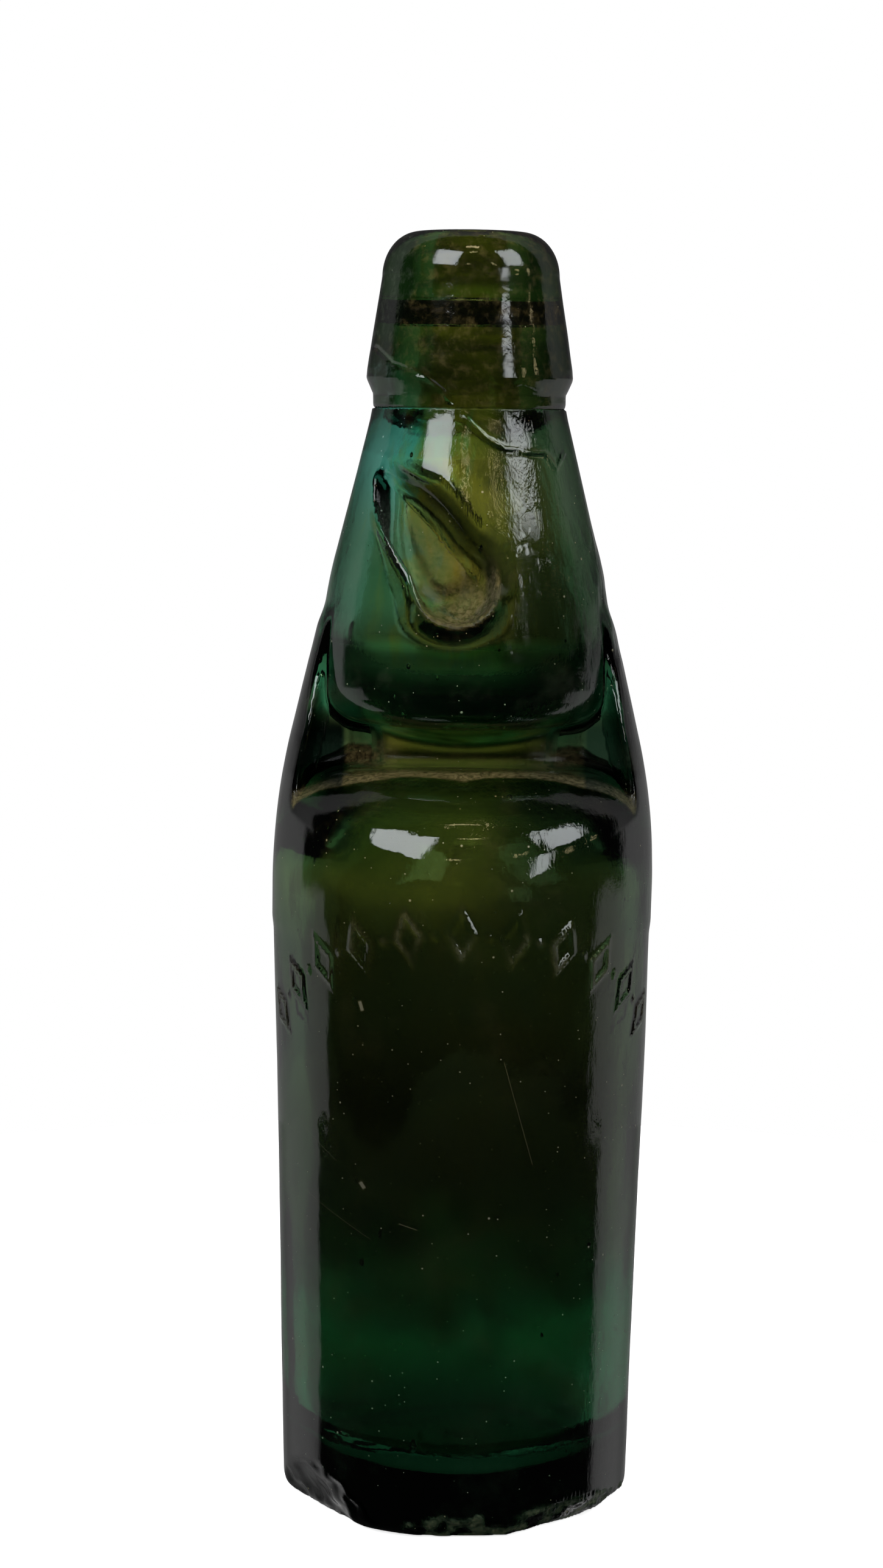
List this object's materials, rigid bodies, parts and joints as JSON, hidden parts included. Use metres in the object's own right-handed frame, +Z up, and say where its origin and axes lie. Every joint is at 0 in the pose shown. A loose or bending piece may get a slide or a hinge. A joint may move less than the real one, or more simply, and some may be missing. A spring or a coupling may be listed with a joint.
{
  "type": "marble stopper bottle",
  "caption": "Thick glass bottle with a pinched waist and a marble chamber in its neck, where a loose marble seals against a rubber ring inside the applied lip.",
  "frame": {"origin": "middle of the base, on the plane the bottle stands on", "axes": "+Z up along the bottle's axis, -Y the front of the pinched waist, +X the viewer's right"},
  "size_m": [0.0674, 0.0674, 0.225],
  "materials": {
    "bottle_glass": "dark bottle green, glossy, with bubbles, scratches and dust",
    "lip_glass": "dark olive green, glossy, tooled",
    "ring_rubber": "old dark rubber, matt",
    "marble_glass": "pale aqua, glossy"
  },
  "bodies": {
    "bottle": {"bottle_body": "bottle_glass", "applied_lip": "lip_glass", "sealing_ring": "ring_rubber"},
    "marble": {"marble": "marble_glass"}
  },
  "joints": [
    {"name": "marble_slide", "type": "slide", "parent": "bottle", "child": "marble", "axis": [0, 0, 1], "range_m": [0, 0.0552]}
  ]
}
